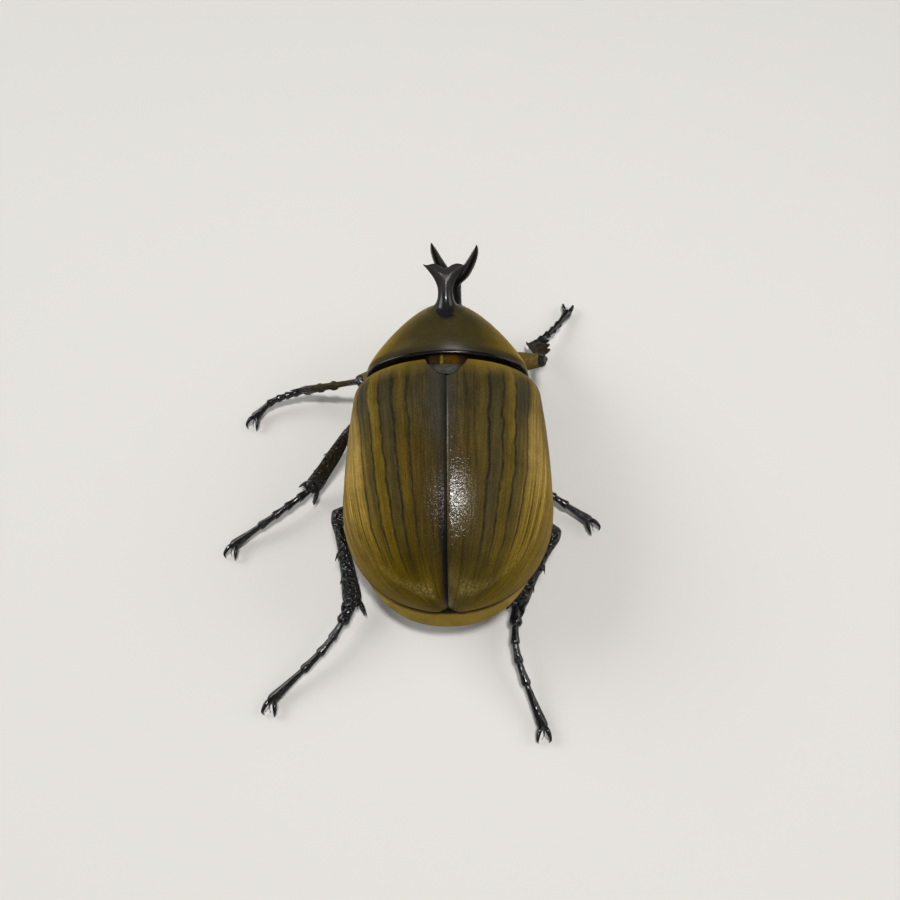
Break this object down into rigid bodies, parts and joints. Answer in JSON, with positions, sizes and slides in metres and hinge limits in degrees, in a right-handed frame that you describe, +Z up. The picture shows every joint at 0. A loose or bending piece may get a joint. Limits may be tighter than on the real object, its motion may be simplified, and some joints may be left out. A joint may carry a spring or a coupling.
{
  "type": "horned beetle",
  "caption": "Male Megasoma anubis beetle, life size, standing on its clawed legs, with a forked head horn, a forked shield horn and domed striped wing cases.",
  "frame": {"origin": "on the floor, under the middle of the box that holds the standing beetle, feet and horns included", "axes": "+Y towards the head, +X to the beetle's right, +Z up from the floor"},
  "size_m": [0.0714, 0.089, 0.0271],
  "materials": {
    "wing_case": "short velvety bloom over smooth shell, olive brown with dark and ochre stripes",
    "shield": "short velvety bloom, dark olive brown, ochre at the edges",
    "horn": "polished black",
    "body": "dark brown shell with a soft shine",
    "tail_plate": "velvety, tan",
    "leg": "glossy black, pitted",
    "eye": "glossy, finely faceted",
    "feeler": "dark reddish brown shell"
  },
  "bodies": {
    "root": {"elytron_left": "wing_case", "elytron_right": "wing_case", "pronotum": "shield", "scutellum": "shield", "horn_pronotum": "horn", "horn_head": "horn", "head": "body", "thorax": "body", "abdomen": "body", "mandible_left": "body", "mandible_right": "body", "pygidium": "tail_plate", "eye_left": "eye", "eye_right": "eye", "antenna_left": "feeler", "antenna_right": "feeler", "palp_left": "feeler", "palp_right": "feeler", "coxa_front_left": "leg", "coxa_front_right": "leg", "coxa_middle_left": "leg", "coxa_middle_right": "leg", "coxa_hind_left": "leg", "coxa_hind_right": "leg", "femur_front_left": "leg", "femur_front_right": "leg", "femur_middle_left": "leg", "femur_middle_right": "leg", "femur_hind_left": "leg", "femur_hind_right": "leg", "tibia_front_left": "leg", "tibia_front_right": "leg", "tibia_middle_left": "leg", "tibia_middle_right": "leg", "tibia_hind_left": "leg", "tibia_hind_right": "leg", "tarsus_front_left": "leg", "tarsus_front_right": "leg", "tarsus_middle_left": "leg", "tarsus_middle_right": "leg", "tarsus_hind_left": "leg", "tarsus_hind_right": "leg"}
  },
  "joints": []
}
